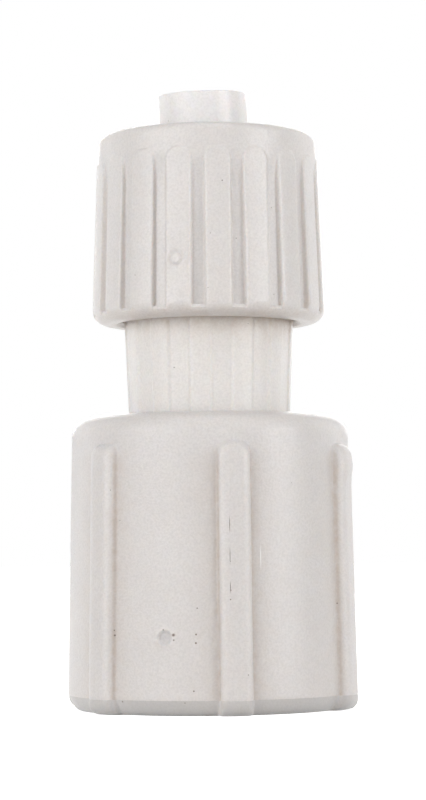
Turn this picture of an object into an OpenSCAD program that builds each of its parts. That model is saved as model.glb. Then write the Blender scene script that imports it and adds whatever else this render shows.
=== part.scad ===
// Compression fitting for plastic tube, with a female swivel nut for a pipe thread.
// Millimetres. +Z runs up the waterway towards the tube. The origin is on the axis,
// at the bottom face of the swivel nut. Angles are seen from above, 0 towards -Y.

/* [Stack of lengths] */
// Height of the swivel nut
swivel_h = 29.0; // [26.5:0.1:34]
// Length of neck that shows between the two nuts
neck_l = 9.3; // [6:0.1:20]
// Height of the compression nut
nut_h = 18.9; // [18.4:0.1:24]
// How far the tube insert stands out of the compression nut
insert_proud = 4.3; // [3.5:0.1:8]

/* [Tube] */
// Outside diameter of the tube that the fitting grips
tube_d = 12.7; // [12.3:0.05:12.8]
// Outside diameter of the insert's sleeve, inside the tube
sleeve_d = 8.98; // [8.2:0.02:9.4]
// Wall of the insert's sleeve
sleeve_wall = 0.83; // [0.5:0.01:1.2]
// Diameter of the cylindrical tip of the insert
tip_d = 8.86; // [7.8:0.02:9.2]
// Thickness of the insert's flange
insert_flange_t = 1.15; // [0.8:0.05:2]
// Radial room between the tube and the bores that it passes
tube_gap = 0.1; // [0.05:0.01:0.2]

/* [Compression nut] */
// Diameter of the plain shoulder band at the top
nut_band_d = 21.84; // [21.4:0.02:24]
// Diameter of the rounded lip at the bottom
nut_lip_d = 23.28; // [23:0.02:26]
// Height from the bottom face to the lip's widest line
nut_lip_h = 1.4; // [1.2:0.1:2.4]
// How far the lip is rounded in at the bottom face
nut_lip_in = 1.6; // [1:0.05:1.9]
// Number of ribs
nut_ribs = 18; // [12:1:18]
// Width of one rib
nut_rib_w = 2.6; // [1.8:0.05:2.8]
// Angle of the rib nearest the front
nut_rib_turn = 5.3; // [0:0.1:20]
// Height of the plain shoulder band above the ribs
nut_band_h = 2.8; // [2.8:0.1:5]
// Diameter of the groove floor at the top of the ribs
nut_floor_top_d = 21.4; // [21:0.02:21.7]
// Diameter of the groove floor at the lip
nut_floor_low_d = 22.0; // [21.6:0.02:22.6]
// Height of the grooves' lower ends above the bottom face
nut_groove_z = 1.0; // [0.8:0.05:1.4]
// Radius of the shoulder at the top edge
nut_shoulder_r = 1.1; // [0.6:0.1:2]
// Thickness of the end wall round the tube hole
nut_end_t = 2.2; // [1.6:0.1:3]
// Diameter of the hole that the tube enters by
nut_hole_d = 13.1; // [12.95:0.05:13.6]
// Depth of the plain mouth below the thread
nut_mouth_h = 2.8; // [2:0.1:4]
// Radial room between the nut's mouth and the neck
nut_mouth_gap = 0.75; // [0.4:0.05:1]

/* [Compression thread] */
// Outside diameter of the thread on the body
thread_d = 16.9; // [16.5:0.05:17]
// Rise of the thread in one turn
thread_pitch = 2.0; // [1.8:0.05:2.2]
// Height of the thread's ridge
thread_h = 0.85; // [0.6:0.05:0.9]
// Full turns of thread on the body
thread_turns = 4; // [3:0.25:4]
// Radial room between the two threads
thread_gap = 0.2; // [0.15:0.01:0.3]
// Room along the axis on each flank of the thread
thread_flank_gap = 0.15; // [0.1:0.01:0.2]

/* [Clamping rings] */
// Height of the straight part of the cone seal
seal_band_h = 0.7; // [0.5:0.05:1]
// Depth of the flared mouth that the cone seal sits in
seal_cone_h = 1.9; // [1.5:0.05:2.2]
// Thickness of the thrust ring
thrust_t = 1.2; // [0.8:0.05:1.4]
// Thickness of the grab ring's metal
grab_t = 0.45; // [0.3:0.05:0.6]
// How far the teeth slope down from rim to tip
grab_drop = 0.6; // [0.3:0.05:0.8]
// Diameter across the tips of the grab ring's teeth
grab_tip_d = 12.3; // [12:0.05:12.4]
// Number of teeth on the grab ring
grab_teeth = 12; // [8:1:16]
// Width of the slots between the teeth and of the split
grab_slot_w = 0.8; // [0.5:0.05:1]
// Room between one clamping piece and the next
stack_gap = 0.08; // [0.05:0.01:0.12]

/* [Body] */
// Diameter of the neck just under the compression nut
neck_top_d = 16.9; // [16.6:0.05:17]
// Diameter of the neck where it enters the swivel nut
neck_low_d = 16.16; // [15.8:0.02:16.6]
// Number of shallow splines on the neck
neck_splines = 12; // [6:1:16]
// Height of the splines above the neck
spline_h = 0.2; // [0.1:0.05:0.4]
// Share of the pitch that each spline covers
spline_share = 0.5; // [0.3:0.05:0.7]
// Angle of the spline nearest the front
spline_turn = -6; // [-15:0.5:15]
// Diameter of the waterway through the body
bore_d = 8.4; // [7.4:0.1:9]
// Depth of the socket that the tube end seats in
socket_h = 8.3; // [7.6:0.1:8.6]
// Diameter of the flange that the swivel nut hangs on
flange_d = 19.0; // [18.4:0.05:19.2]
// Thickness of that flange
flange_t = 2.2; // [1.6:0.1:3]
// Diameter of the short nose that centres the washer
nose_d = 11.8; // [11:0.1:12.6]
// Length of that nose
nose_h = 1.6; // [1:0.1:2]
// Thickness of the rubber tail washer
washer_t = 2.4; // [2.1:0.1:3]
// Radial room between the washer's hole and the nose
washer_gap = 0.1; // [0.05:0.01:0.2]

/* [Swivel nut] */
// Diameter of the wall just above the bottom edge
swivel_low_d = 28.66; // [28:0.02:32]
// Diameter of the wall just below the shoulder
swivel_top_d = 27.6; // [27:0.02:31]
// Radius of the shoulder
swivel_shoulder_r = 2.1; // [1.5:0.1:3]
// Height of the rounded band at the bottom edge
swivel_foot_h = 1.5; // [1:0.05:2.2]
// How far the bottom edge is drawn in
swivel_foot_in = 1.1; // [0.6:0.05:1.4]
// Number of wings
wings = 6; // [3:1:8]
// Width of one wing
wing_w = 3.2; // [2.4:0.05:4]
// Height of a wing above the wall
wing_out = 0.87; // [0.6:0.01:1.6]
// Angle of the wing nearest the front
wing_turn = 9.4; // [0:0.1:60]
// Distance from the top face down to the wings' tops
wing_drop = 3.0; // [2.5:0.1:6]
// Radius of the wings' long outer edges
wing_edge_r = 0.8; // [0.3:0.05:0.8]
// Radius of the wings' top and bottom ends
wing_end_r = 1.3; // [0.9:0.05:1.5]
// Root diameter of the pipe thread in the nut
pipe_thread_d = 21.2; // [20.8:0.05:21.6]
// Length of the threaded bore
pipe_thread_l = 16.0; // [14:0.5:17]
// Width of the chamfer at the bore's mouth
mouth_chamfer = 0.7; // [0.3:0.05:0.9]
// Thickness of the lip that bears on the flange
lip_t = 3.0; // [2.5:0.1:4]
// Diameter of the hole in the lip, round the neck
lip_hole_d = 17.3; // [17.1:0.05:17.8]
// Radial room between the flange and the chamber round it
flange_gap = 0.3; // [0.2:0.05:0.5]
// Room between the flange and the lip above it
lip_gap = 0.25; // [0.2:0.05:0.4]

/* [Hidden] */
$fn = 96;

// Overlap of pieces of one solid, and of a cutter past the face that it cuts
eps = 0.3;
// Straight steps in a quarter-round edge
arc_steps = 8;
// Facets in one turn of thread ridge
ridge_steps = 24;

// Levels up the axis
nut_z = swivel_h + neck_l;
nut_top = nut_z + nut_h;
insert_top = nut_top + insert_proud;
end_z = nut_top - nut_end_t;

// Clamping stack, worked down from the nut's end wall
ring_d = thread_d - 2 * thread_h;
pocket_d = ring_d + 2 * thread_gap;
grab_rim_z = end_z - stack_gap - grab_t;
grab_low_z = grab_rim_z - grab_drop;
thrust_z = grab_low_z - stack_gap - thrust_t;
seal_top_z = thrust_z - stack_gap;
mouth_z = seal_top_z - seal_band_h;

// Socket and thread on the body
tube_bore_d = tube_d + 2 * tube_gap;
socket_z = mouth_z - socket_h;
thread_top = mouth_z - thread_pitch / 2;
thread_low = thread_top - thread_turns * thread_pitch;
neck_end_z = nut_z + nut_mouth_h - eps;
mouth_d = ring_d - 0.7;

// Thread sections: width of each ridge at its root and at its crest
ridge_root_w = 0.62 * thread_pitch;
ridge_crest_w = 0.22 * thread_pitch;
groove_root_w = thread_pitch - ridge_crest_w - 2 * thread_flank_gap;
groove_crest_w = thread_pitch - ridge_root_w - 2 * thread_flank_gap;

// Tail of the body
flange_top = swivel_h - lip_t - lip_gap;
flange_low = flange_top - flange_t;
chamber_d = flange_d + 2 * flange_gap;

// Swivel nut's outer wall: radius at a height
swivel_slope = (swivel_low_d - swivel_top_d) / 2 / (swivel_h - swivel_shoulder_r - swivel_foot_h);
function swivel_r(z) = swivel_low_d / 2 - swivel_slope * (z - swivel_foot_h);
wing_draft = atan(swivel_slope);
wing_top = swivel_h - wing_drop;

// Compression nut's outer cone: radius at a height above the nut's bottom face
nut_rib_top = nut_h - nut_band_h;
function nut_r(h) = nut_lip_d / 2
    - (nut_lip_d - nut_band_d) / 2 * (h - nut_lip_h) / (nut_h - nut_shoulder_r - nut_lip_h);

// Points of an elliptical arc about c, with half axes a and b, from angle p to angle q
function arc(c, a, b, p, q) = [for (i = [0:arc_steps])
    let (t = p + (q - p) * i / arc_steps) [c[0] + a * cos(t), c[1] + b * sin(t)]];

// A ridge that winds up the axis: wall_r is buried eps deep, tip_r is the crest
module ridge(wall_r, tip_r, root_w, crest_w, low_z, turns) {
    bury_r = wall_r + (wall_r > tip_r ? eps : -eps);
    rings = round(turns * ridge_steps);
    section = wall_r > tip_r
        ? [[tip_r, -crest_w / 2], [bury_r, -root_w / 2], [bury_r, root_w / 2], [tip_r, crest_w / 2]]
        : [[bury_r, -root_w / 2], [tip_r, -crest_w / 2], [tip_r, crest_w / 2], [bury_r, root_w / 2]];
    points = [for (i = [0:rings], p = section)
        let (t = 360 * i / ridge_steps)
        [p[0] * cos(t), p[0] * sin(t), low_z + p[1] + thread_pitch * i / ridge_steps]];
    sides = [for (i = [0:rings - 1], k = [0:3])
        let (a = 4 * i + k, b = 4 * i + (k + 1) % 4)
        each [[a, b, b + 4], [a, b + 4, a + 4]]];
    last = 4 * rings;
    ends = [[0, 2, 1], [0, 3, 2], [last, last + 1, last + 2], [last, last + 2, last + 3]];
    polyhedron(points = points, faces = concat(sides, ends), convexity = 10);
}

// Body: fluted neck, threaded mouth with its socket and flare, tail flange and nose
module fitting_body() color("gainsboro") {
    neck_core_low = neck_low_d / 2 - spline_h;
    neck_core_top = neck_top_d / 2 - spline_h;
    rotate_extrude() polygon([
        [bore_d / 2, flange_low - nose_h],
        [nose_d / 2, flange_low - nose_h],
        [nose_d / 2, flange_low],
        [flange_d / 2 - 0.3, flange_low],
        [flange_d / 2, flange_low + 0.3],
        [flange_d / 2, flange_top],
        [neck_core_low, flange_top],
        [neck_core_low, swivel_h],
        [neck_core_top, nut_z],
        [neck_core_top, neck_end_z - spline_h],
        [ring_d / 2, neck_end_z],
        [ring_d / 2, mouth_z - 0.25],
        [ring_d / 2 - 0.25, mouth_z],
        [mouth_d / 2, mouth_z],
        [tube_bore_d / 2, mouth_z - seal_cone_h],
        [tube_bore_d / 2, socket_z],
        [bore_d / 2, socket_z]
    ]);
    neck_spline_set();
    ridge(ring_d / 2, thread_d / 2, ridge_root_w, ridge_crest_w, thread_low + ridge_root_w / 2,
          thread_turns - 0.5);
}

// Splines of the neck: wedges of a shell that follows the neck's taper
module neck_spline_set() {
    half = 180 / neck_splines * spline_share;
    start = bore_d / 2 + 1;
    reach = neck_top_d;
    intersection() {
        rotate_extrude() polygon([
            [neck_low_d / 2 - spline_h - eps, flange_top + eps],
            [neck_low_d / 2, flange_top + eps],
            [neck_low_d / 2, swivel_h],
            [neck_top_d / 2, nut_z],
            [neck_top_d / 2, neck_end_z - 2 * spline_h],
            [neck_top_d / 2 - spline_h - eps, neck_end_z - 2 * spline_h]
        ]);
        for (i = [0:neck_splines - 1])
            rotate([0, 0, spline_turn - 90 + i * 360 / neck_splines])
                linear_extrude(height = nut_top)
                    polygon([[start, -start * tan(half)], [reach, -reach * tan(half)],
                             [reach, reach * tan(half)], [start, start * tan(half)]]);
    }
}

// Rubber washer on the tail's nose, face to face with the flange
module tail_washer() color("dimgray") {
    out_r = flange_d / 2 - 0.1;
    in_r = nose_d / 2 + washer_gap;
    rotate_extrude() polygon([
        [in_r, flange_low - washer_t],
        [out_r - 0.3, flange_low - washer_t],
        [out_r, flange_low - washer_t + 0.3],
        [out_r, flange_low - 0.3],
        [out_r - 0.3, flange_low],
        [in_r, flange_low]
    ]);
}

// Thin sleeve that stiffens the tube: flange in the socket, tip out of the nut's hole
module tube_insert() color("whitesmoke") {
    tip_z = nut_top + 0.6;
    low_z = socket_z + stack_gap / 2;
    in_r = sleeve_d / 2 - sleeve_wall;
    flange_r = tube_d / 2 - stack_gap;
    rotate_extrude() polygon([
        [in_r, low_z],
        [flange_r, low_z],
        [flange_r, low_z + insert_flange_t],
        [sleeve_d / 2, low_z + insert_flange_t],
        [sleeve_d / 2, tip_z - 0.2],
        [tip_d / 2, tip_z],
        [tip_d / 2, insert_top - 0.2],
        [tip_d / 2 - 0.2, insert_top],
        [in_r, insert_top]
    ]);
}

// Wedge ring in the body's flared mouth
module cone_seal() color("white") {
    in_r = tube_bore_d / 2;
    out_r = ring_d / 2 - 0.1;
    slope = (mouth_d - tube_bore_d) / 2 / seal_cone_h;
    low_z = mouth_z - seal_cone_h + 0.5;
    rotate_extrude() polygon([
        [in_r, low_z],
        [in_r + 0.5 * slope - stack_gap + 0.02, low_z],
        [mouth_d / 2 - stack_gap, mouth_z],
        [mouth_d / 2 - stack_gap, mouth_z + stack_gap],
        [out_r, mouth_z + stack_gap],
        [out_r, seal_top_z],
        [in_r, seal_top_z]
    ]);
}

// Plain flat ring between the seal and the grab ring
module thrust_ring() color("gainsboro") {
    in_r = tube_bore_d / 2;
    out_r = ring_d / 2 - 0.05;
    rotate_extrude() polygon([
        [in_r, thrust_z],
        [out_r, thrust_z],
        [out_r, thrust_z + thrust_t],
        [in_r, thrust_z + thrust_t]
    ]);
}

// Split ring of sheet steel with teeth that slope down to the tube
module grab_ring() color("silver") {
    out_r = ring_d / 2;
    root_r = out_r - 0.7;
    difference() {
        rotate_extrude() polygon([
            [grab_tip_d / 2, grab_low_z],
            [root_r, grab_rim_z],
            [out_r, grab_rim_z],
            [out_r, grab_rim_z + grab_t],
            [root_r, grab_rim_z + grab_t],
            [grab_tip_d / 2, grab_low_z + grab_t]
        ]);
        for (i = [0:grab_teeth - 1])
            rotate([0, 0, i * 360 / grab_teeth])
                translate([0, -grab_slot_w / 2, grab_low_z - eps])
                    cube([i == 0 ? ring_d : root_r, grab_slot_w, grab_drop + grab_t + 2 * eps]);
    }
}

// Ribbed hand nut: end wall, pocket for the rings, thread and plain mouth
module compression_nut() color("gainsboro") {
    difference() {
        union() {
            nut_shell();
            nut_rib_set();
        }
        nut_inside();
    }
    ridge(thread_d / 2 + thread_gap, ring_d / 2 + thread_gap, groove_root_w, groove_crest_w,
          thread_low + ridge_root_w / 2 + thread_pitch / 2, thread_turns - 1);
}

// The nut's plain outer form at the level of the groove floor
module nut_shell() {
    floor_top = nut_floor_top_d / 2;
    floor_low = nut_floor_low_d / 2;
    translate([0, 0, nut_z]) rotate_extrude() polygon(concat(
        [[0, 0]],
        nut_lip_arc(nut_groove_z),
        [[floor_low, nut_groove_z], [floor_top, nut_rib_top - nut_rib_w / 2],
         [nut_r(nut_rib_top), nut_rib_top]],
        arc([nut_r(nut_h - nut_shoulder_r) - nut_shoulder_r, nut_h - nut_shoulder_r],
            nut_shoulder_r, nut_shoulder_r, 0, 90),
        [[0, nut_h]]
    ));
}

// Rounded lip from the bottom face up to height h
function nut_lip_arc(h) = [
    for (p = arc([nut_lip_d / 2 - nut_lip_in, nut_lip_h], nut_lip_in, nut_lip_h, -90, 0))
        if (p[1] <= h) p];

// Ribs: arch-topped slabs held to a cone that widens towards the lip
module nut_rib_set() {
    rib_out = 0.1;
    translate([0, 0, nut_z]) intersection() {
        rotate_extrude() polygon(concat(
            [[nut_floor_top_d / 2 - eps, 0]],
            [for (p = nut_lip_arc(nut_lip_h)) if (p[0] > nut_floor_top_d / 2) p],
            [[nut_r(nut_rib_top) + rib_out, nut_rib_top + nut_rib_w / 4],
             [nut_floor_top_d / 2 - eps, nut_rib_top + nut_rib_w / 4]]
        ));
        for (i = [0:nut_ribs - 1])
            rotate([0, 0, nut_rib_turn - 90 + i * 360 / nut_ribs])
                rotate([90, 0, 90])
                    linear_extrude(height = nut_lip_d)
                        rib_outline();
    }
}

// Rib seen from outside: straight sides and a round top
module rib_outline() {
    translate([-nut_rib_w / 2, 0]) square([nut_rib_w, nut_rib_top - nut_rib_w / 2]);
    translate([0, nut_rib_top - nut_rib_w / 2]) circle(d = nut_rib_w);
}

// Everything cut from inside the nut
module nut_inside() {
    wall_r = thread_d / 2 + thread_gap;
    mouth_r = neck_top_d / 2 + nut_mouth_gap;
    pocket_z = mouth_z - 0.3;
    rotate_extrude() polygon([
        [0, nut_z - eps],
        [mouth_r + 0.4 + eps, nut_z - eps],
        [mouth_r, nut_z + 0.4],
        [mouth_r, nut_z + nut_mouth_h],
        [wall_r, nut_z + nut_mouth_h + 0.5],
        [wall_r, pocket_z],
        [pocket_d / 2, pocket_z + 0.4],
        [pocket_d / 2, end_z],
        [nut_hole_d / 2, end_z],
        [nut_hole_d / 2, nut_top - 0.3],
        [nut_hole_d / 2 + 0.3 + eps, nut_top + eps],
        [0, nut_top + eps]
    ]);
}

// Six-winged nut that turns freely on the tail of the body
module swivel_nut() color("gainsboro") {
    difference() {
        union() {
            swivel_shell();
            for (i = [0:wings - 1])
                rotate([0, 0, wing_turn - 90 + i * 360 / wings])
                    wing();
        }
        swivel_inside();
    }
}

// The swivel nut's outer form without its wings
module swivel_shell() {
    shoulder_z = swivel_h - swivel_shoulder_r;
    shoulder_c = [swivel_r(shoulder_z) - swivel_shoulder_r, shoulder_z];
    rotate_extrude() polygon(concat(
        [[0, 0]],
        arc([swivel_r(0) - swivel_foot_in, swivel_foot_h], swivel_foot_in * 0.9, swivel_foot_h, -90, -10),
        [[swivel_r(swivel_foot_h), swivel_foot_h]],
        arc(shoulder_c, swivel_shoulder_r, swivel_shoulder_r, 0, 90),
        [[0, swivel_h]]
    ));
}

// One wing along +X: a drafted bar with rounded long edges and rounded ends
module wing() {
    root_r = pipe_thread_d / 2 + 1;
    tip_r = swivel_r(0) + wing_out;
    translate([tip_r, 0, 0]) rotate([0, -wing_draft, 0]) translate([-tip_r, 0, 0]) intersection() {
        linear_extrude(height = wing_top) {
            translate([root_r, -wing_w / 2]) square([tip_r - wing_edge_r - root_r, wing_w]);
            translate([root_r, wing_edge_r - wing_w / 2])
                square([tip_r - root_r, wing_w - 2 * wing_edge_r]);
            for (s = [-1, 1])
                translate([tip_r - wing_edge_r, s * (wing_w / 2 - wing_edge_r)]) circle(r = wing_edge_r);
        }
        rotate([90, 0, 0]) translate([0, 0, -wing_w])
            linear_extrude(height = 2 * wing_w) polygon(concat(
                [[root_r, (tip_r - root_r) * tan(wing_draft)]],
                arc([tip_r - wing_end_r, wing_end_r * (1 + tan(wing_draft))], wing_end_r, wing_end_r, -90, 0),
                arc([tip_r - wing_end_r, wing_top - wing_end_r], wing_end_r, wing_end_r, 0, 90),
                [[root_r, wing_top]]
            ));
    }
}

// Everything cut from inside the swivel nut
module swivel_inside() {
    bore_r = pipe_thread_d / 2;
    bore_top = mouth_chamfer + pipe_thread_l;
    rotate_extrude() polygon([
        [0, -eps],
        [bore_r + mouth_chamfer + eps, -eps],
        [bore_r, mouth_chamfer],
        [bore_r, bore_top],
        [chamber_d / 2, bore_top + (pipe_thread_d - chamber_d) / 2],
        [chamber_d / 2, swivel_h - lip_t],
        [lip_hole_d / 2, swivel_h - lip_t],
        [lip_hole_d / 2, swivel_h - 0.4],
        [lip_hole_d / 2 + 0.4 + eps, swivel_h + eps],
        [0, swivel_h + eps]
    ]);
}

fitting_body();
tail_washer();
tube_insert();
cone_seal();
thrust_ring();
grab_ring();
compression_nut();
swivel_nut();
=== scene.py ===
"""Looks of a plastic compression fitting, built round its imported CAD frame.

Lengths below are in millimetres and levels run up the fitting's axis. Angles are in degrees,
seen from above, with 0 on the side that faces the camera and plus to the camera's right.
"""

import math

import bpy
import numpy as np
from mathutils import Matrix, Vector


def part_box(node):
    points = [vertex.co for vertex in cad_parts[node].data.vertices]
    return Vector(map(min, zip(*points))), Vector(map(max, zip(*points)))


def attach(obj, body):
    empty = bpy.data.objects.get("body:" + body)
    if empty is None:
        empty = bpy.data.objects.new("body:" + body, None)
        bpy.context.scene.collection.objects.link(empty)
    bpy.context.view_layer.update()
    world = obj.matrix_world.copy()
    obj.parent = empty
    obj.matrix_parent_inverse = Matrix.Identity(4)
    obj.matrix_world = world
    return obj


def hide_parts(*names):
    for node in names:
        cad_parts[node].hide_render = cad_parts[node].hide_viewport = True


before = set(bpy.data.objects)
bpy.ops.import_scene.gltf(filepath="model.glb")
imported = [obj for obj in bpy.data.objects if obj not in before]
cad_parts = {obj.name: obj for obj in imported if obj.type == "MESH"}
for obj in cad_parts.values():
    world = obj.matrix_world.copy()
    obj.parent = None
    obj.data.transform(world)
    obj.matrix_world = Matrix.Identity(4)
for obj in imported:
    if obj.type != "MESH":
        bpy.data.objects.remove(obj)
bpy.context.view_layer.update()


# ---- Fitting body -------------------------------------------------------------------------
# One acetal moulding that carries everything else: washer nose and flange at the bottom,
# a fluted neck to hold while tightening, then the threaded mouth with the tube's socket.
# It is moulded in one shot, and the swivel nut is slipped over it before the other nut.

MM = 0.001


def span(node):
    """Lowest and highest level of a CAD node, in millimetres."""
    low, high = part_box(node)
    return low.z / MM, high.z / MM


def outline(corners, step=0.7):
    """Section line through (radius, level, rounding) corners: each inner corner is bridged
    by a parabola that starts and ends one rounding away, and straights are cut in steps."""
    corner = np.array([c[:2] for c in corners], float)
    cut = np.array([c[2] for c in corners], float)
    along = np.diff(corner, axis=0)
    along /= np.linalg.norm(along, axis=1)[:, None]
    t = np.linspace(0, 1, 5)[:, None]
    pieces = []
    here = corner[0]
    for i in range(1, len(corners)):
        last = i == len(corners) - 1
        enter = corner[i] - along[i - 1] * (0 if last else cut[i])
        count = max(1, math.ceil(np.linalg.norm(enter - here) / step))
        pieces.append(here + (enter - here) * np.linspace(0, 1, count, endpoint=False)[:, None])
        if last or cut[i] == 0:
            here = corner[i]
            continue
        leave = corner[i] + along[i] * cut[i]
        bridge = (1 - t) ** 2 * enter + 2 * t * (1 - t) * corner[i] + t ** 2 * leave
        pieces.append(bridge[:-1])
        here = leave
    return np.vstack(pieces + [corner[-1:]])


def turned(radius, level, angle, dirt_and_shade=0.0):
    """Points at a radius and level (rows) for every angle (columns) round the axis. A fourth
    layer beside x, y and z says how much dirt and painted shade the face carries there: up to 1
    with brown hand dirt and brown painted shade, down to -1 with grey painted shade."""
    radius, level, angle, dirt_and_shade = np.broadcast_arrays(radius, level, angle, dirt_and_shade)
    return np.stack([radius * np.sin(angle), -radius * np.cos(angle), level, dirt_and_shade])


def lathe(corners, angle, step=0.7, dirt_and_shade=0.0):
    """A plain turned band along an outline, the same at every angle."""
    line = outline(corners, step)
    return turned(line[:, :1], line[:, 1:], angle, dirt_and_shade)


def skin(name, *bands):
    """Closed mesh over a grid of points in millimetres. Rows run round the piece's section and
    columns round its axis; both wrap, and each face joins four neighbours. The sign of the
    enclosed volume tells whether the faces have to be turned outwards. The layer of dirt and
    painted shade becomes an attribute, which the materials read."""
    layers = np.concatenate(bands, axis=1)
    points, dirt_and_shade = layers[:3], layers[3]
    rows, cols = dirt_and_shade.shape
    i = np.arange(rows)[:, None]
    j = np.arange(cols)[None, :]
    below, above = i * cols, (i + 1) % rows * cols
    left, right = j + 0 * i, (j + 1) % cols + 0 * i
    quads = np.stack([below + left, below + right, above + right, above + left], axis=-1).reshape(-1, 4)
    flat = points.reshape(3, -1).T * MM
    a, b, c, d = (flat[quads[:, k]] for k in range(4))
    volume = np.einsum("ij,ij->", a, np.cross(b, c)) + np.einsum("ij,ij->", a, np.cross(c, d))
    if volume < 0:
        quads = quads[:, ::-1]
    mesh = bpy.data.meshes.new(name)
    mesh.vertices.add(len(flat))
    mesh.vertices.foreach_set("co", flat.astype(np.float32).ravel())
    mesh.loops.add(quads.size)
    mesh.loops.foreach_set("vertex_index", quads.astype(np.int32).ravel())
    mesh.polygons.add(len(quads))
    mesh.polygons.foreach_set("loop_start", np.arange(0, quads.size, 4, dtype=np.int32))
    mesh.update(calc_edges=True)
    mesh.polygons.foreach_set("use_smooth", np.ones(len(quads), bool))
    mesh.set_sharp_from_angle(angle=math.radians(50))
    mesh.validate()
    mesh.attributes.new("dirt_and_shade", "FLOAT", "POINT").data.foreach_set("value", dirt_and_shade.astype(np.float32).ravel())
    piece = bpy.data.objects.new(name, mesh)
    bpy.context.scene.collection.objects.link(piece)
    return piece


def sector_angles(count, first, half_sector):
    """Angles round the axis, in radians: the same offsets either side of each of count bars."""
    half = np.array(half_sector, float)
    offsets = np.concatenate([-half[:0:-1], half[:-1]])
    centres = first + 360 / count * np.arange(count)
    return np.radians((centres[:, None] + offsets[None, :]).ravel())[None, :]


def with_columns(angle, more):
    """Angles round the axis with more columns put in, given in degrees."""
    both = np.concatenate([angle.ravel(), np.radians(more)]) % (2 * math.pi)
    return np.unique(np.round(both, 5))[None, :]


def from_bar(angle, count, first):
    """Angle from the nearest of count evenly spaced bars, in radians."""
    pitch = 2 * math.pi / count
    return (angle - math.radians(first) + pitch / 2) % pitch - pitch / 2


def smooth(value):
    """Smooth step from 0 to 1 as value goes from 0 to 1."""
    t = np.clip(value, 0, 1)
    return t * t * (3 - 2 * t)


def thread_ridge(angle, level, start, pitch, root_w, crest_w, turns):
    """Share of full height of a right-hand ridge that starts at a level on the camera's right
    and climbs one pitch a turn. Its section is a trapezoid with eased corners, and the ridge
    fades in and out over a third of a turn."""
    turn = (angle - math.pi / 2) / (2 * math.pi)
    climb = (level - start) / pitch - turn
    nearest = np.round(climb)
    aside = np.abs(climb - nearest) * pitch
    section = smooth((root_w / 2 - aside) / (root_w / 2 - crest_w / 2))
    along = nearest + turn
    return section * smooth(along / 0.33) * smooth((turns - along) / 0.33)


body_low, body_high = span("fitting_body")
swivel_top = span("swivel_nut")[1]
nut_low, nut_top = span("compression_nut")
flange_low = span("tail_washer")[1]
flange_top = flange_low + 2.2
flange_r = 9.5
nose_r = 5.9
water_r = 4.2
neck_low_r, neck_top_r = 8.08, 8.45
neck_end = nut_low + 2.5
spline_count, spline_first, spline_h, spline_half = 12, -6, 0.2, 7.5
root_r, crest_r = 7.6, 8.45
pitch = 2.0
ridge_root, ridge_crest = 1.24, 0.44
thread_low = body_high - pitch / 2 - 4 * pitch
socket_r, socket_z = 6.45, body_high - 8.3
flare_r, flare_h = 7.25, 1.9

body_angle = sector_angles(spline_count, spline_first,
                           [0, 2.2, 4.2, 5.6, 6.5, 7.1, 7.5, 7.9, 8.5, 9.6, 11.4, 13.2, 15])
neck_z = np.linspace(flange_top + 0.3, neck_end - 0.45, 44)[:, None]
neck_r = np.interp(neck_z, [swivel_top, nut_low], [neck_low_r, neck_top_r])
off_spline = np.abs(from_bar(body_angle, spline_count, spline_first)) * neck_r
spline = smooth((math.radians(spline_half) * neck_r - off_spline) / 0.36 + 0.5)
# Brown painted shade under the hand nut's lip, mixed with hand dirt; it fades down the neck and is stronger
# on the right.
neck_dirt_and_shade = 0.45 * np.exp(-np.abs(nut_low - neck_z) / 1.4) * (0.85 + 0.35 * np.sin(body_angle))
thread_z = np.linspace(neck_end + 0.15, body_high - 0.45, 76)[:, None]
body_ridge = thread_ridge(body_angle, thread_z, thread_low + ridge_root / 2, pitch,
                          ridge_root, ridge_crest, 3.5)

fluted_body = skin(
    "fluted_body",
    lathe([(water_r, body_low + 0.4, 0), (water_r, body_low, 0.15), (nose_r, body_low, 0.3),
           (nose_r, flange_low, 0.1), (flange_r, flange_low, 0.3), (flange_r, flange_top, 0.25),
           (neck_low_r - spline_h + 0.3, flange_top, 0)], body_angle),
    turned(neck_r - spline_h + spline_h * spline, neck_z, body_angle, neck_dirt_and_shade),
    lathe([(crest_r - spline_h, neck_end - 0.3, 0), (root_r, neck_end, 0.1),
           (root_r, neck_end + 0.1, 0)], body_angle),
    turned(root_r + (crest_r - root_r) * body_ridge, thread_z, body_angle),
    lathe([(root_r, body_high - 0.4, 0), (root_r, body_high, 0.2), (flare_r, body_high, 0.1),
           (socket_r, body_high - flare_h, 0.2), (socket_r, socket_z, 0.15),
           (water_r, socket_z, 0.2), (water_r, body_low + 0.8, 0)], body_angle, step=1.5),
)


# Moulded acetal: off-white, a little translucent, with a fine orange-peel face, faint clouding
# and a few dark specks of dust. Brown hand dirt and brown painted shade darken the corners and
# undersides, and grey painted shade darkens the winged nut's foot and sunk gate.

BROWN_DIRT_AND_SHADE, GREY_SHADE = (0.46, 0.335, 0.23), (0.36, 0.355, 0.35)
DUST, LINT = (0.2, 0.16, 0.13), (0.95, 0.95, 0.94)


def new_material(name):
    """A new material, with its nodes, links and shader, and the place on the piece."""
    material = bpy.data.materials.new(name)
    material.use_nodes = True
    nodes, links = material.node_tree.nodes, material.node_tree.links
    where = nodes.new("ShaderNodeTexCoord").outputs["Object"]
    return material, nodes, links, nodes["Principled BSDF"], where


def computed(nodes, links, operation, *values):
    """Result of one operation. Each value may be a socket or a number."""
    step = nodes.new("ShaderNodeMath")
    step.operation = operation
    for value, socket in zip(values, step.inputs):
        if isinstance(value, float):
            socket.default_value = value
        else:
            links.new(value, socket)
    return step.outputs[0]


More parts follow.
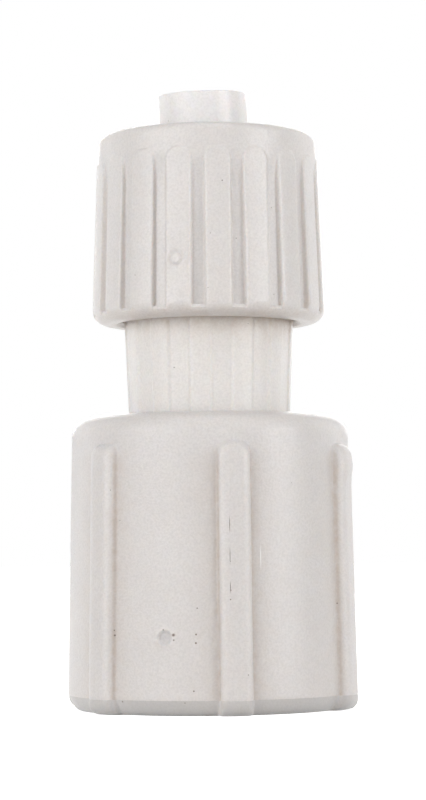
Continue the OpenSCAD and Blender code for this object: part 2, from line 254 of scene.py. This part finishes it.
def distance_from(nodes, links, where, angle, level, radius, stretch=1):
    """Distance in metres from a place on a turned face. Along the axis it is divided by the
    stretch, so that points at one distance make an upright oval."""
    squeezed = nodes.new("ShaderNodeVectorMath")
    squeezed.operation = "MULTIPLY"
    links.new(where, squeezed.inputs[0])
    squeezed.inputs[1].default_value = (1, 1, 1 / stretch)
    away = nodes.new("ShaderNodeVectorMath")
    away.operation = "DISTANCE"
    links.new(squeezed.outputs[0], away.inputs[0])
    a = math.radians(angle)
    place = radius * math.sin(a), -radius * math.cos(a), level / stretch
    away.inputs[1].default_value = tuple(length * MM for length in place)
    return away.outputs["Value"]


def speck_mask(nodes, links, where, cell, reach):
    """1 on sparse round specks: points of a cellular pattern closer than reach, else 0."""
    cells = nodes.new("ShaderNodeTexVoronoi")
    cells.inputs["Scale"].default_value = 1 / (cell * MM)
    links.new(where, cells.inputs["Vector"])
    mask = nodes.new("ShaderNodeMapRange")
    mask.inputs["From Min"].default_value = reach / cell
    mask.inputs["From Max"].default_value = 0.4 * reach / cell
    links.new(cells.outputs["Distance"], mask.inputs["Value"])
    return mask.outputs["Result"]


def noise_field(nodes, links, where, size, detail=3.0, roughness=0.55):
    """Noise with features of a size in millimetres, between 0 and 1."""
    noise = nodes.new("ShaderNodeTexNoise")
    noise.inputs["Scale"].default_value = 1 / (size * MM)
    noise.inputs["Detail"].default_value = detail
    noise.inputs["Roughness"].default_value = roughness
    links.new(where, noise.inputs["Vector"])
    return noise.outputs["Fac"]


def ranged(nodes, links, value, low, high, from_low=0.3, from_high=0.7):
    """A value spread over a new range."""
    spread = nodes.new("ShaderNodeMapRange")
    spread.inputs["From Min"].default_value = from_low
    spread.inputs["From Max"].default_value = from_high
    spread.inputs["To Min"].default_value = low
    spread.inputs["To Max"].default_value = high
    links.new(value, spread.inputs["Value"])
    return spread.outputs["Result"]


def tinted(nodes, links, mask, under, over):
    """One colour over another, by a mask. Either colour may be a socket or three numbers."""
    mix = nodes.new("ShaderNodeMix")
    mix.data_type = "RGBA"
    links.new(mask, mix.inputs["Factor"])
    for colour, socket in ((under, mix.inputs["A"]), (over, mix.inputs["B"])):
        if isinstance(colour, tuple):
            socket.default_value = (*colour, 1)
        else:
            links.new(colour, socket)
    return mix.outputs["Result"]


def bumped(nodes, links, height, depth, under=None):
    """A bump of a depth in millimetres over an earlier normal."""
    bump = nodes.new("ShaderNodeBump")
    bump.inputs["Distance"].default_value = depth * MM
    links.new(height, bump.inputs["Height"])
    if under is not None:
        links.new(under, bump.inputs["Normal"])
    return bump.outputs["Normal"]


def flow_rings(nodes, links, away, spacing, reach):
    """Ripples round the feed point: a sine of the distance from it, which dies out at a reach."""
    phase = computed(nodes, links, "MULTIPLY", away, 2 * math.pi / (spacing * MM))
    ripple = computed(nodes, links, "SINE", phase)
    fading = ranged(nodes, links, away, 1, 0, 0.3 * reach * MM, reach * MM)
    return computed(nodes, links, "MULTIPLY", ripple, fading)


def acetal(name, colour, shade, peel=0.03, translucency=0.4, dust=(), lint=(), feed=None):
    """Moulded acetal in one colour, clouded towards a shade, with orange peel, dirt and painted
    shade, read from the layer of dirt and painted shade. Dust is a list of dark specks as
    (angle, level, radius, size), where a fifth number stretches the speck along the axis. Lint
    lists pale ones, all five long, and feed is the gate's place."""
    material, nodes, links, shader, where = new_material(name)
    grain_size, swell_size, patch_size, cloud_size = 0.22, 1.4, 0.9, 5.0
    cloud = ranged(nodes, links, noise_field(nodes, links, where, cloud_size, 6.0, 0.7), 0, 1)
    clouded = tinted(nodes, links, cloud, colour, shade)
    grain = noise_field(nodes, links, where, grain_size, 2.0)
    speckle = ranged(nodes, links, grain, 0, 0.55)
    stippled = tinted(nodes, links, speckle, clouded, tuple(0.83 * c for c in shade))
    # The layer of dirt and painted shade: brown hand dirt and brown painted shade above 0, grey painted
    # shade below 0.
    dirt_and_shade_layer = nodes.new("ShaderNodeAttribute")
    dirt_and_shade_layer.attribute_name = "dirt_and_shade"
    dirt_and_shade = dirt_and_shade_layer.outputs["Fac"]
    patches = ranged(nodes, links, noise_field(nodes, links, where, patch_size, 4.0, 0.65), 0.6, 1.5)
    uneven = computed(nodes, links, "MULTIPLY", dirt_and_shade, patches)
    dirtied_and_shaded = tinted(nodes, links, uneven, stippled, BROWN_DIRT_AND_SHADE)
    dirtied_and_shaded = tinted(nodes, links, ranged(nodes, links, dirt_and_shade, 1, 0, -1, 0), dirtied_and_shaded, GREY_SHADE)
    specks = speck_mask(nodes, links, where, 2.3, 0.06)
    for angle, level, radius, size, *stretch in dust:
        away = distance_from(nodes, links, where, angle, level, radius, *stretch)
        speck = ranged(nodes, links, away, 1, 0, 0.5 * size * MM, size * MM)
        specks = computed(nodes, links, "MAXIMUM", specks, speck)
    dusty = tinted(nodes, links, specks, dirtied_and_shaded, DUST)
    for angle, level, radius, size, stretch in lint:
        away = distance_from(nodes, links, where, angle, level, radius, stretch)
        hair = ranged(nodes, links, away, 0.8, 0, 0.4 * size * MM, size * MM)
        dusty = tinted(nodes, links, hair, dusty, LINT)
    links.new(dusty, shader.inputs["Base Color"])
    links.new(ranged(nodes, links, grain, 0.27, 0.39), shader.inputs["Roughness"])
    relief = bumped(nodes, links, noise_field(nodes, links, where, swell_size, 2.0), peel)
    if feed is not None:
        rings = flow_rings(nodes, links, distance_from(nodes, links, where, *feed), 0.5, 6.5)
        relief = bumped(nodes, links, rings, 0.002, relief)
    links.new(bumped(nodes, links, grain, peel, relief), shader.inputs["Normal"])
    shader.inputs["Subsurface Weight"].default_value = translucency
    shader.inputs["Subsurface Radius"].default_value = (1.0, 0.76, 0.54)
    shader.inputs["Subsurface Scale"].default_value = 1.6 * MM
    shader.inputs["Specular IOR Level"].default_value = 0.5
    return material


neck_acetal = acetal("neck_acetal", (0.88, 0.853, 0.83), (0.845, 0.815, 0.79),
                     dust=[(33.4, 29.0, 8.1, 0.1), (-25, 33.5, 8.1, 0.09), (24, 31.5, 8.1, 0.08)])
fluted_body.data.materials.append(neck_acetal)
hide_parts("fitting_body")
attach(fluted_body, "fitting")


# ---- Tail washer --------------------------------------------------------------------------
# Flat ring of black rubber pushed over the body's nose, against the flange. It is compression
# moulded, so it has a dull bloom and a faint grain.

def rubber(name, colour, bloom):
    """Dull moulded rubber with a paler bloom in patches and a fine grain."""
    material, nodes, links, shader, where = new_material(name)
    patch = ranged(nodes, links, noise_field(nodes, links, where, 2.5), 0, 1)
    links.new(tinted(nodes, links, patch, colour, bloom), shader.inputs["Base Color"])
    grain = noise_field(nodes, links, where, 0.12, 2.0)
    links.new(ranged(nodes, links, grain, 0.6, 0.8), shader.inputs["Roughness"])
    links.new(bumped(nodes, links, grain, 0.02), shader.inputs["Normal"])
    return material


def finished(node, material):
    """Give a CAD node one material in place of its own."""
    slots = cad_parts[node].data.materials
    slots.clear()
    slots.append(material)


finished("tail_washer", rubber("washer_rubber", (0.035, 0.034, 0.033), (0.075, 0.073, 0.07)))


# ---- Tube insert --------------------------------------------------------------------------
# Thin natural-plastic sleeve that keeps the tube round under the clamp. Its flange stands in
# the body's socket and its tip sticks out of the hand nut's hole. The sleeve is slightly bowed
# to the front left, as thin mouldings come out, so its tip leans.

insert_low, insert_top = span("tube_insert")
insert_flange_r, insert_flange_t = 6.27, 1.15
sleeve_r, tip_r, sleeve_wall = 4.49, 4.43, 0.83
bow_side, bow_front, bow_start, bow_power = -0.44, -0.42, 1.5, 2.3
lean_end = insert_top - insert_low - bow_start
tip_share, front_hinge = 0.45, 0.4

insert_angle = np.radians(np.arange(0, 360, 2.5))[None, :]
sleeve_in = sleeve_r - sleeve_wall
insert_line = lathe(
    [(sleeve_in, insert_low + 1.0, 0), (sleeve_in, insert_low, 0.2),
     (insert_flange_r, insert_low, 0.15), (insert_flange_r, insert_low + insert_flange_t, 0.15),
     (sleeve_r, insert_low + insert_flange_t, 0.15), (sleeve_r, nut_top + 0.3, 0.5),
     (tip_r, insert_top - 0.9, 0.5), (tip_r, insert_top, 0.1), (sleeve_in, insert_top, 0.1),
     (sleeve_in, insert_low + 1.4, 0)], insert_angle, step=0.5)

# The bow grows as a power of the height over the flange. Each ring of the sleeve tips with it,
# sideways about its right wall and by a share only, and forwards about a line in front.
up = np.clip((insert_line[2] - insert_low - bow_start) / lean_end, 0, None)
bend = bow_power / lean_end * up ** (bow_power - 1) * smooth(up * 4)
side_tip = tip_share * bow_side * (tip_r - insert_line[0])
front_tip = bow_front * (front_hinge * tip_r + insert_line[1])
insert_line[2] += bend * (side_tip - front_tip)
insert_line[0] += bow_side * up ** bow_power
insert_line[1] += bow_front * up ** bow_power

insert_sleeve = skin("insert_sleeve", insert_line)
insert_sleeve.data.materials.append(
    acetal("natural_plastic", (0.95, 0.905, 0.893), (0.925, 0.875, 0.86), peel=0.006, translucency=0.6,
           dust=[(-26.3, 60.9, 4.5, 0.12), (-12, 60.3, 4.5, 0.1)]))
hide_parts("tube_insert")
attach(insert_sleeve, "insert")


# ---- Clamping rings -----------------------------------------------------------------------
# Cone seal, thrust ring and toothed grab ring, stacked loose in the hand nut. The first two are
# moulded plastic; the grab ring is stamped from stainless sheet and split so that it can close.

def stamped_steel(name, colour):
    """Stamped stainless sheet: fine rolling lines, patchy gloss."""
    material, nodes, links, shader, where = new_material(name)
    rolled = nodes.new("ShaderNodeMapping")
    rolled.inputs["Scale"].default_value = (1, 0.06, 1)
    links.new(where, rolled.inputs["Vector"])
    lines = noise_field(nodes, links, rolled.outputs["Vector"], 0.1, 2.0)
    dull = tuple(0.8 * c for c in colour)
    links.new(tinted(nodes, links, lines, colour, dull), shader.inputs["Base Color"])
    links.new(ranged(nodes, links, lines, 0.25, 0.45), shader.inputs["Roughness"])
    links.new(bumped(nodes, links, lines, 0.004), shader.inputs["Normal"])
    shader.inputs["Metallic"].default_value = 1.0
    return material


finished("cone_seal", acetal("seal_plastic", (0.83, 0.82, 0.8), (0.8, 0.785, 0.76), translucency=0.2))
finished("thrust_ring", neck_acetal)
finished("grab_ring", stamped_steel("ring_steel", (0.62, 0.61, 0.59)))


# ---- Hand nut -----------------------------------------------------------------------------
# Ribbed acetal nut that is tightened by hand over the tube. Eighteen arch-topped ribs stand
# between a plain shoulder and a rounded lip; inside are the end wall that pushes on the rings
# and the coarse thread. A small gate mark shows on one rib.

def bar_height(inside, height, rounding, root, breadth=1.0):
    """Height of a raised bar at a distance inside its edge: a quarter ellipse, as wide as the
    rounding times the breadth, on a short steep wall, whose foot runs out in a concave fillet
    just outside the edge."""
    crown = rounding * np.sqrt(1 - (1 - np.clip(inside / (breadth * rounding), 0, 1)) ** 2)
    foot = np.clip(1 + inside / root, 0, 1) ** 2
    return np.where(inside > 0, height - rounding + crown, (height - rounding) * foot)


def gate_mark(angle, level, at_angle, at_level, at_radius, size, rise, ring):
    """Relief left where the moulding's feed was cut off: a disc with a ring round it, either of
    which stands up or is sunk."""
    across = (angle - math.radians(at_angle) + math.pi) % (2 * math.pi) - math.pi
    away = np.hypot(across * at_radius, level - at_level)
    disc = smooth((size / 2 - away) / (0.25 * size) + 0.5)
    groove = np.exp(-((away - 0.56 * size) / (0.13 * size)) ** 2)
    return rise * disc + ring * groove


nut_h = nut_top - nut_low
rib_count, rib_first, rib_w = 18, 5.3, 2.6
lip_r, lip_h, lip_round = 11.64, 1.4, 1.6
band_r = 10.92
shoulder_round = 0.9
groove_end, groove_runout = 1.0, 3.4
rib_top = nut_h - 2.45
arch_z = rib_top - rib_w / 2
floor_low_r, floor_top_r = 11.0, 10.7
rib_stand, rib_round, rib_fillet = 0.1, 0.22, 0.16
mouth_r = 8.9
wall_r = crest_r + 0.2
tip_ridge_r = root_r + 0.2
pocket_r = 7.8
hole_r = 6.55
end_z = nut_top - 2.2
groove_root = pitch - ridge_crest - 0.3
groove_crest = pitch - ridge_root - 0.3
nut_gate_angle, nut_gate_z, nut_gate_size = -15.8, 43.8, 1.15

nut_angle = sector_angles(rib_count, rib_first,
                          [0, 2.4, 4.4, 5.5, 6.05, 6.35, 6.55, 6.75, 6.95, 7.25, 8.1, 10])
nut_angle = with_columns(nut_angle, nut_gate_angle + np.arange(-4.2, 4.3, 0.6))
# Painted shade on the lip, darker towards its underside, in the brown of dirt and shade.
lip_t = np.radians(np.linspace(-90, -30, 7))[:, None]
lip_line = turned(lip_r - lip_round + lip_round * np.cos(lip_t), nut_low + lip_h + lip_h * np.sin(lip_t),
                  nut_angle, 0.04 - 0.1 * np.sin(lip_t))

rib_h = np.unique(np.round(np.concatenate([
    [groove_end + 0.01, groove_end + 0.05],
    np.linspace(groove_end + 0.12, lip_h, 8),
    np.linspace(lip_h + 0.5, arch_z - 0.5, 20),
    nut_gate_z - nut_low + np.linspace(-0.85, 0.85, 18),
    np.linspace(arch_z - 0.1, rib_top + 0.12, 26),
]), 4))[:, None]
cone_r = np.interp(rib_h, [lip_h, nut_h - shoulder_round], [lip_r, band_r])
lip_bend = np.sqrt(1 - np.clip((lip_h - rib_h) / lip_h, 0, 1) ** 2)
outer_r = np.where(rib_h < lip_h, lip_r - lip_round + lip_round * lip_bend,
                   cone_r + rib_stand * (rib_h - lip_h) / (rib_top - lip_h))
floor_r = np.interp(rib_h, [groove_end, groove_end + 0.04, arch_z], [11.4, floor_low_r, floor_top_r])
runout = smooth((rib_h - rib_top + groove_runout) / groove_runout)
floor_r = np.minimum(floor_r + (cone_r - floor_r) * runout ** 1.4, outer_r)
aside = np.abs(from_bar(nut_angle, rib_count, rib_first)) * outer_r
above_arch = np.clip(rib_h - arch_z, 0, None)
inside_rib = rib_w / 2 - np.hypot(aside, above_arch)
stand = outer_r - floor_r
rib_relief = (bar_height(inside_rib, stand, np.minimum(rib_round, 0.6 * stand) + 1e-6, rib_fillet)
              + gate_mark(nut_angle, nut_low + rib_h, nut_gate_angle, nut_gate_z, lip_r,
                          nut_gate_size, rise=0.06, ring=-0.11))
# Painted shade with some brown dirt in the creases at the ribs' feet, faint on the groove floors and fading
# towards the arches, and on the lip's underside.
at_rib_foot = np.exp(-((inside_rib + 0.08) / 0.13) ** 2)
on_floor = smooth(-inside_rib / 0.15) * (rib_h > groove_end)
under_lip = 0.06 * smooth((lip_h - rib_h) / lip_h)
rib_dirt_and_shade = (0.06 * at_rib_foot + 0.01 * on_floor) * smooth((rib_top - rib_h) / 4) + under_lip
rib_surface = turned(floor_r + rib_relief, nut_low + rib_h, nut_angle, rib_dirt_and_shade)

shoulder_t = np.radians(np.linspace(0, 90, 9))[:, None]
shoulder_z = nut_h - shoulder_round
shoulder_line = turned(band_r - shoulder_round + shoulder_round * np.cos(shoulder_t),
                       nut_low + shoulder_z + shoulder_round * np.sin(shoulder_t), nut_angle)
nut_thread_z = np.linspace(nut_low + 3.4, body_high - 0.35, 84)[:, None]
nut_ridge = thread_ridge(nut_angle, nut_thread_z, thread_low + ridge_root / 2 + pitch / 2, pitch,
                         groove_root, groove_crest, 3.0)

ribbed_nut = skin(
    "ribbed_nut",
    # Painted shade darkens the mouth's inside.
    lathe([(mouth_r, nut_low + 0.8, 0), (mouth_r, nut_low + 0.4, 0.1), (mouth_r + 0.4, nut_low, 0.1),
           (mouth_r + 0.5, nut_low, 0)], nut_angle, dirt_and_shade=0.3),
    lip_line,
    rib_surface,
    shoulder_line,
    lathe([(band_r - shoulder_round - 0.1, nut_top, 0), (hole_r + 0.3, nut_top, 0.15),
           (hole_r, nut_top - 0.3, 0.15), (hole_r, end_z, 0.12), (pocket_r, end_z, 0.2),
           (pocket_r, body_high + 0.1, 0.15), (wall_r, body_high - 0.3, 0.1)], nut_angle, step=1.0),
    turned(wall_r - (wall_r - tip_ridge_r) * nut_ridge, nut_thread_z, nut_angle)[:, ::-1],
    lathe([(wall_r, nut_low + 3.3, 0), (mouth_r, nut_low + 2.8, 0.15),
           (mouth_r, nut_low + 1.0, 0)], nut_angle),
)
nut_acetal = acetal(
    "nut_acetal", (0.775, 0.745, 0.73), (0.735, 0.7, 0.68),
    dust=[(12.7, 42.45, 11.5, 0.11), (58.4, 43.5, 11.5, 0.12), (-26.5, 39.55, 11.4, 0.13),
          (-25.8, 51.25, 11.0, 0.1), (7.5, 51.3, 11.2, 0.08), (37.5, 49.3, 11.2, 0.1),
          (36, 40.8, 11.6, 0.09), (-61, 47.0, 11.3, 0.08)])
ribbed_nut.data.materials.append(nut_acetal)
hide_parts("compression_nut")
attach(ribbed_nut, "hand_nut")


# ---- Winged nut ---------------------------------------------------------------------------
# Thick acetal nut with six wings, free to turn on the body's flange, that screws on to the
# pipe. The mould parts just above its foot, and its feed was cut off low on the wall. The two
# wings beside the front one stand a few degrees nearer to it than an even spacing would put
# them, and the next one on the right follows by half as much.

wing_count, wing_first, wing_w, wing_out = 6, 9.4, 3.2, 0.87
wing_aside, wing_hold = [0, -3.4, -1.7, 0, 0, 3.6], 9
wing_round, wing_broad, wing_root, wing_end, wing_corner = 0.6, 1.6, 0.28, 1.1, 1.2
foot_h, foot_in = 1.5, 1.1
swivel_round = 2.1
wall_low_r, wall_top_r = 14.33, 13.8
pipe_r, pipe_tip_r, pipe_l = 10.6, 9.63, 16.0
pipe_pitch = 1.814
mouth_cut = 0.7
lip_under = swivel_top - 3.0
lip_hole_r = 8.65
chamber_r = 9.8
gate_angle, gate_z, gate_size = -18.2, 7.42, 1.3
swell_wing, swell_z, swell_rise, swell_half, swell_half_z = 66.0, 23.9, 0.3, 8, 1.1
wing_top = swivel_top - 3.0

swivel_angle = sector_angles(wing_count, wing_first,
                             [0, 1.4, 2.8, 3.8, 4.5, 5.1, 5.6, 6.0, 6.25, 6.42, 6.55, 6.7, 7.0, 7.5, 8.3,
                              9.6, 11.5, 14, 17, 20, 23, 25.5, 28, 30])
swivel_angle = with_columns(swivel_angle, gate_angle + np.arange(-5, 3.1, 0.33))
off_wing = from_bar(swivel_angle, wing_count, wing_first)
wing_middle = wing_first + 360 / wing_count * np.arange(wing_count)[:, None]
held = np.radians(wing_middle + [-wing_hold, wing_hold]).ravel()
moved = np.radians(np.repeat(wing_aside, 2))
swivel_angle = swivel_angle + np.interp(swivel_angle, held, moved, period=2 * math.pi)

swivel_z = np.unique(np.round(np.concatenate([
    np.linspace(0, foot_h, 13), [foot_h - 0.03, foot_h + 0.03, foot_h + 0.12],
    np.linspace(foot_h + 0.4, wing_top - wing_end - 0.2, 26),
    gate_z + np.linspace(-1.15, 1.15, 28),
    np.linspace(wing_top - wing_end, wing_top, 14) + 0.001,
    np.linspace(wing_top, swivel_top - swivel_round, 3),
]), 4))[:, None]
shoulder_level = swivel_top - swivel_round
plain_wall = np.interp(swivel_z, [foot_h, shoulder_level], [wall_low_r, wall_top_r])
wall_at_foot = wall_low_r + (wall_low_r - wall_top_r) * foot_h / (shoulder_level - foot_h)
drop = np.clip((foot_h - swivel_z) / foot_h, 0, 1)
foot_wall = wall_at_foot - foot_in * (0.05 + 0.5 * drop + 0.45 * (1 - np.sqrt(1 - drop ** 2)))
wall = np.where(swivel_z < foot_h, foot_wall, plain_wall)
wing_wall = wall_at_foot + wing_out + (plain_wall - wall_low_r) * smooth(swivel_z / foot_h)
low_end = 1 - np.sqrt(1 - np.clip(1 - swivel_z / wing_end, 0, 1) ** 2)
high_end = 1 - np.sqrt(1 - np.clip(1 - (wing_top - swivel_z) / wing_end, 0, 1) ** 2)
wing_face = wing_wall - wing_end * low_end - (wing_wall - wall) * high_end
wing_stand = np.where(swivel_z < wing_top, np.clip(wing_face - wall, 0, None), 0)
bulge_side = np.exp(-((swivel_angle - math.radians(swell_wing)) / math.radians(swell_half)) ** 2)
bulge = swell_rise * bulge_side * np.exp(-((swivel_z - swell_z) / swell_half_z) ** 2)
from_side = wing_w / 2 - np.abs(np.sin(off_wing)) * (wall + wing_stand)
from_top = wing_top - swivel_z + 0 * from_side
in_corner = np.hypot(np.clip(wing_corner - from_side, 0, None), np.clip(wing_corner - from_top, 0, None))
inside_wing = np.where(np.maximum(from_side, from_top) < wing_corner, wing_corner - in_corner,
                       np.minimum(from_side, from_top))
rounding = np.minimum(wing_round, 0.7 * wing_stand) + 1e-6
wing_relief = bar_height(inside_wing, wing_stand + bulge * (wing_stand > 0), rounding, wing_root, wing_broad)
parting = -0.03 * np.exp(-((swivel_z - foot_h) / 0.05) ** 2)
gate = gate_mark(swivel_angle, swivel_z, gate_angle, gate_z, wall_low_r, gate_size,
                 rise=-0.22, ring=0.09)
# Brown dirt and painted shade in the creases at the wings' feet, and a painted shadow of each wing on the
# wall beside it; both fade towards the wings' tops.
at_wing_foot = np.exp(-((inside_wing + 0.15) / 0.22) ** 2)
beside_wing = np.exp(np.clip(inside_wing, None, 0) / 1.6) * (inside_wing < 0)
# Grey painted shade on the foot, darkest at the floor.
at_foot = (0.41 + 0.45 * np.exp(-swivel_z / 0.5)) * (swivel_z < foot_h)
wing_dirt_and_shade = (0.14 * at_wing_foot + 0.2 * beside_wing) * smooth((wing_top - swivel_z) / 2) - at_foot
# Grey painted shade in the sunk gate disc.
wing_dirt_and_shade = wing_dirt_and_shade + 0.8 * np.minimum(gate, 0)
wing_surface = turned(wall + wing_relief + parting + gate, swivel_z, swivel_angle, wing_dirt_and_shade)

big_t = np.radians(np.linspace(6, 90, 12))[:, None]
big_shoulder = turned(wall_top_r - swivel_round + swivel_round * np.cos(big_t),
                      shoulder_level + swivel_round * np.sin(big_t), swivel_angle)
pipe_z = np.linspace(mouth_cut, mouth_cut + pipe_l, 104)[:, None]
pipe_ridge = thread_ridge(swivel_angle, pipe_z, mouth_cut + 0.9, pipe_pitch, 1.5, 0.22,
                          pipe_l / pipe_pitch - 0.9)
step_z = mouth_cut + pipe_l

winged_nut = skin(
    "winged_nut",
    wing_surface,
    big_shoulder,
    lathe([(wall_top_r - swivel_round - 0.2, swivel_top, 0), (lip_hole_r + 0.4, swivel_top, 0.2),
           (lip_hole_r, swivel_top - 0.4, 0.2), (lip_hole_r, lip_under, 0.15), (chamber_r, lip_under, 0.2),
           (chamber_r, step_z + 0.8, 0.2), (pipe_r, step_z + 0.05, 0)], swivel_angle, step=1.2),
    turned(pipe_r - (pipe_r - pipe_tip_r) * pipe_ridge, pipe_z, swivel_angle)[:, ::-1],
    lathe([(pipe_r + 0.1, mouth_cut - 0.1, 0), (pipe_r + mouth_cut, 0, 0.15), (12.6, 0, 0)], swivel_angle),
)
winged_nut.data.materials.append(acetal(
    "wing_acetal", (0.765, 0.735, 0.722), (0.725, 0.69, 0.672), feed=(gate_angle, gate_z, wall_low_r),
    dust=[(10.3, 1.27, 15.0, 0.14), (11.8, 1.3, 15.0, 0.09), (15.6, 1.3, 15.0, 0.09),
          (7.1, 11.87, 15.1, 0.14), (7.1, 18.81, 15.0, 0.12), (7.1, 17.16, 15.0, 0.11),
          (7.1, 14.6, 15.0, 0.08), (13.2, 3.9, 15.2, 0.11), (-36.9, 1.31, 14.3, 0.13),
          (-40.3, 7.62, 14.3, 0.13), (-40.6, 8.1, 14.3, 0.09), (-5.4, 10.2, 14.2, 0.11),
          (-6.0, 6.92, 14.2, 0.12), (-5.9, 7.73, 14.2, 0.11), (-18.7, 8.16, 14.3, 0.11),
          (-6.9, 2.4, 14.3, 0.1), (-39.6, 0.85, 13.9, 0.12), (59.3, 10.4, 14.2, 0.09),
          (-10.4, 1.3, 14.2, 0.08), (2.9, 20.9, 13.9, 0.08), (-14.6, 7.69, 14.3, 0.2),
          (-14.5, 7.2, 14.3, 0.13), (7.0, 18.2, 14.89, 0.04, 26), (7.0, 15.2, 14.95, 0.04, 26),
          (7.0, 12.1, 15.0, 0.04, 18), (7.0, 11.0, 15.0, 0.09, 1)],
    lint=[(19.7, 15.0, 14.05, 0.06, 26)]))
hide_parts("swivel_nut")
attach(winged_nut, "tail_nut")


# ---- Floor, light and camera --------------------------------------------------------------
# A plain pale floor under a white surround, soft boxes low in front, high at the sides, above
# and behind, and the camera at the photograph's height and distance.

FLOOR_HALF = 3

floor_mesh = bpy.data.meshes.new("floor")
floor_mesh.from_pydata([(FLOOR_HALF * x, FLOOR_HALF * y, 0)
                        for x, y in ((-1, -1), (1, -1), (1, 1), (-1, 1))], [], [(0, 1, 2, 3)])
floor = bpy.data.objects.new("floor", floor_mesh)
bpy.context.scene.collection.objects.link(floor)


def seen_directly(nodes, links):
    """1 for rays from the camera, or by way of gloss or clear plastic, else 0."""
    path = nodes.new("ShaderNodeLightPath").outputs
    mirrored = computed(nodes, links, "MAXIMUM", path["Is Glossy Ray"], path["Is Transmission Ray"])
    return computed(nodes, links, "MAXIMUM", path["Is Camera Ray"], mirrored)


# The floor glows white to direct rays, and a little less near the fitting, where its shadow shows.
floor_paint, nodes, links, plain_shader, where = new_material("floor_paint")
nodes.remove(plain_shader)
matt = nodes.new("ShaderNodeBsdfDiffuse")
matt.inputs["Color"].default_value = (0.95, 0.945, 0.935, 1)
glow = nodes.new("ShaderNodeEmission")
from_middle = distance_from(nodes, links, where, 0, 0, 0)
rising = ranged(nodes, links, from_middle, 0.84, 1.0, 0.08, 0.4)
shown = computed(nodes, links, "MULTIPLY", seen_directly(nodes, links), rising)
links.new(shown, glow.inputs["Strength"])
glow.inputs["Color"].default_value = (1, 1, 1, 1)
both = nodes.new("ShaderNodeAddShader")
links.new(matt.outputs[0], both.inputs[0])
links.new(glow.outputs[0], both.inputs[1])
links.new(both.outputs[0], nodes["Material Output"].inputs["Surface"])
floor_mesh.materials.append(floor_paint)

world = bpy.data.worlds.new("surround")
bpy.context.scene.world = world
world.use_nodes = True
nodes, links = world.node_tree.nodes, world.node_tree.links
seen = seen_directly(nodes, links)
white = nodes["Background"]
white.inputs["Color"].default_value = (1, 1, 1, 1)
links.new(ranged(nodes, links, seen, 0.03, 1.0, 0, 1), white.inputs["Strength"])

AIM = 0.031
LAMP_DISTANCE = 0.7
TALL, SQUARE, SIDE, WIDE = (0.3, 0.6), (0.4, 0.4), (0.4, 0.5), (0.5, 0.4)


def soft_box(name, azimuth, elevation, size, watts):
    """A rectangular lamp at a direction from the fitting's middle, turned to face it."""
    lamp = bpy.data.lights.new(name, "AREA")
    lamp.shape = "RECTANGLE"
    lamp.size, lamp.size_y = size
    lamp.energy = watts
    holder = bpy.data.objects.new(name, lamp)
    bpy.context.scene.collection.objects.link(holder)
    a, e = math.radians(azimuth), math.radians(elevation)
    holder.location = (LAMP_DISTANCE * math.cos(e) * math.sin(a),
                       -LAMP_DISTANCE * math.cos(e) * math.cos(a),
                       AIM + LAMP_DISTANCE * math.sin(e))
    holder.rotation_euler = (math.radians(90) - e, 0, a)


soft_box("left_box", -60, 6, TALL, 1.8)
soft_box("left_front_box", -35, 6, TALL, 1.64)
soft_box("front_box", 10, 6, TALL, 0.5)
soft_box("high_left_box", -50, 40, SQUARE, 0.54)
soft_box("top_box", 0, 75, SQUARE, 0.7)
soft_box("right_box", 60, 6, TALL, 2.86)
soft_box("high_right_box", 55, 45, SQUARE, 0.5)
soft_box("back_left_box", -125, 15, SIDE, 0.5)
soft_box("back_right_box", 125, 15, SIDE, 0.6)
soft_box("back_box", 180, 20, WIDE, 1.5)

view_distance, view_height, view_aside = 0.26, 0.01546, 0.00036
view_tilt, view_roll = 0.0586, 0.01
camera_data = bpy.data.cameras.new("camera")
camera_data.lens = 116.8
camera_data.sensor_width = 36.0
camera_data.clip_start = 0.01
camera = bpy.data.objects.new("camera", camera_data)
bpy.context.scene.collection.objects.link(camera)
camera.location = (view_aside, -view_distance, view_height)
camera.rotation_euler = (math.pi / 2 + view_tilt, 0, 0)
camera.rotation_euler.rotate_axis("Z", -view_roll)
bpy.context.scene.camera = camera
bpy.context.scene.view_settings.view_transform = "Standard"
